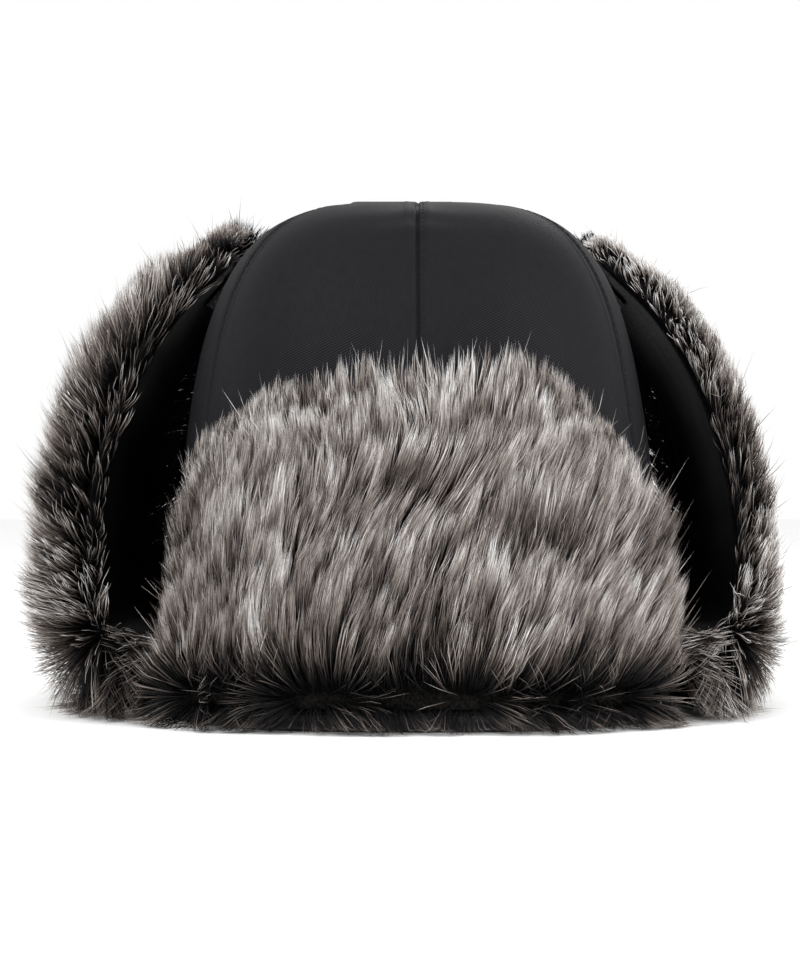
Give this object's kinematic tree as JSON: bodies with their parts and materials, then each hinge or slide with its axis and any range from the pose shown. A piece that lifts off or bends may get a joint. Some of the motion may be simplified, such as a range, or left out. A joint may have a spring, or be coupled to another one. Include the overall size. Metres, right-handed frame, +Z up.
{
  "type": "trapper hat",
  "caption": "Winter hat with a padded six-gore crown, a turned-up front flap, ear and neck flaps that fold down, and a buckled chin strap.",
  "frame": {"origin": "on the surface the hat stands on, under the middle of its bounding box", "axes": "+Z up, -Y the hat's front, +X the viewer's right when looking at the front"},
  "size_m": [0.313, 0.303, 0.215],
  "materials": {
    "nylon": "satin twill weave",
    "fur": "long pile faux fur",
    "wadding": "matt fibre",
    "quilt": "quilted satin",
    "fleece": "brushed fleece",
    "webbing": "ribbed webbing",
    "moulded": "moulded satin"
  },
  "bodies": {
    "crown": {"gore_front_right": "nylon", "gore_side_right": "nylon", "gore_back_right": "nylon", "gore_back_left": "nylon", "gore_side_left": "nylon", "gore_front_left": "nylon", "crown_wadding": "wadding", "crown_lining": "quilt", "sweatband": "fleece", "edge_binding": "fleece", "front_flap_lining": "nylon", "front_flap_wadding": "wadding", "front_flap_fur": "fur"},
    "ear_flap_left": {"ear_flap_left_shell": "nylon", "ear_flap_left_wadding": "wadding", "ear_flap_left_fur": "fur", "strap_tab_left": "webbing"},
    "ear_flap_right": {"ear_flap_right_shell": "nylon", "ear_flap_right_wadding": "wadding", "ear_flap_right_fur": "fur", "strap_tab_right": "webbing"},
    "neck_flap": {"neck_flap_shell": "nylon", "neck_flap_wadding": "wadding", "neck_flap_fur": "fur"},
    "strap_left": {"strap_left": "webbing", "buckle_socket": "moulded"},
    "strap_right": {"strap_right": "webbing"},
    "buckle_plug": {"buckle_plug": "moulded", "strap_tail": "webbing"}
  },
  "joints": [
    {"name": "ear_flap_left_fold", "type": "hinge", "parent": "crown", "child": "ear_flap_left", "pos_m": [-0.108, 0, -0.001], "axis": [0, -1, 0], "range_deg": [0, 180]},
    {"name": "ear_flap_right_fold", "type": "hinge", "parent": "crown", "child": "ear_flap_right", "pos_m": [0.108, 0, -0.001], "axis": [0, 1, 0], "range_deg": [0, 180]},
    {"name": "neck_flap_fold", "type": "hinge", "parent": "crown", "child": "neck_flap", "pos_m": [0, 0.10925, -0.001], "axis": [-1, 0, 0], "range_deg": [0, 180]},
    {"name": "strap_left_swing", "type": "hinge", "parent": "ear_flap_left", "child": "strap_left", "pos_m": [-0.062, 0.04336, 0.1952], "axis": [0, -1, 0], "range_deg": [0, 110]},
    {"name": "strap_right_swing", "type": "hinge", "parent": "ear_flap_right", "child": "strap_right", "pos_m": [0.062, 0.04336, 0.1952], "axis": [0, 1, 0], "range_deg": [0, 110]},
    {"name": "buckle_release", "type": "slide", "parent": "strap_right", "child": "buckle_plug", "axis": [1, 0, 0], "range_m": [0, 0.022]}
  ]
}
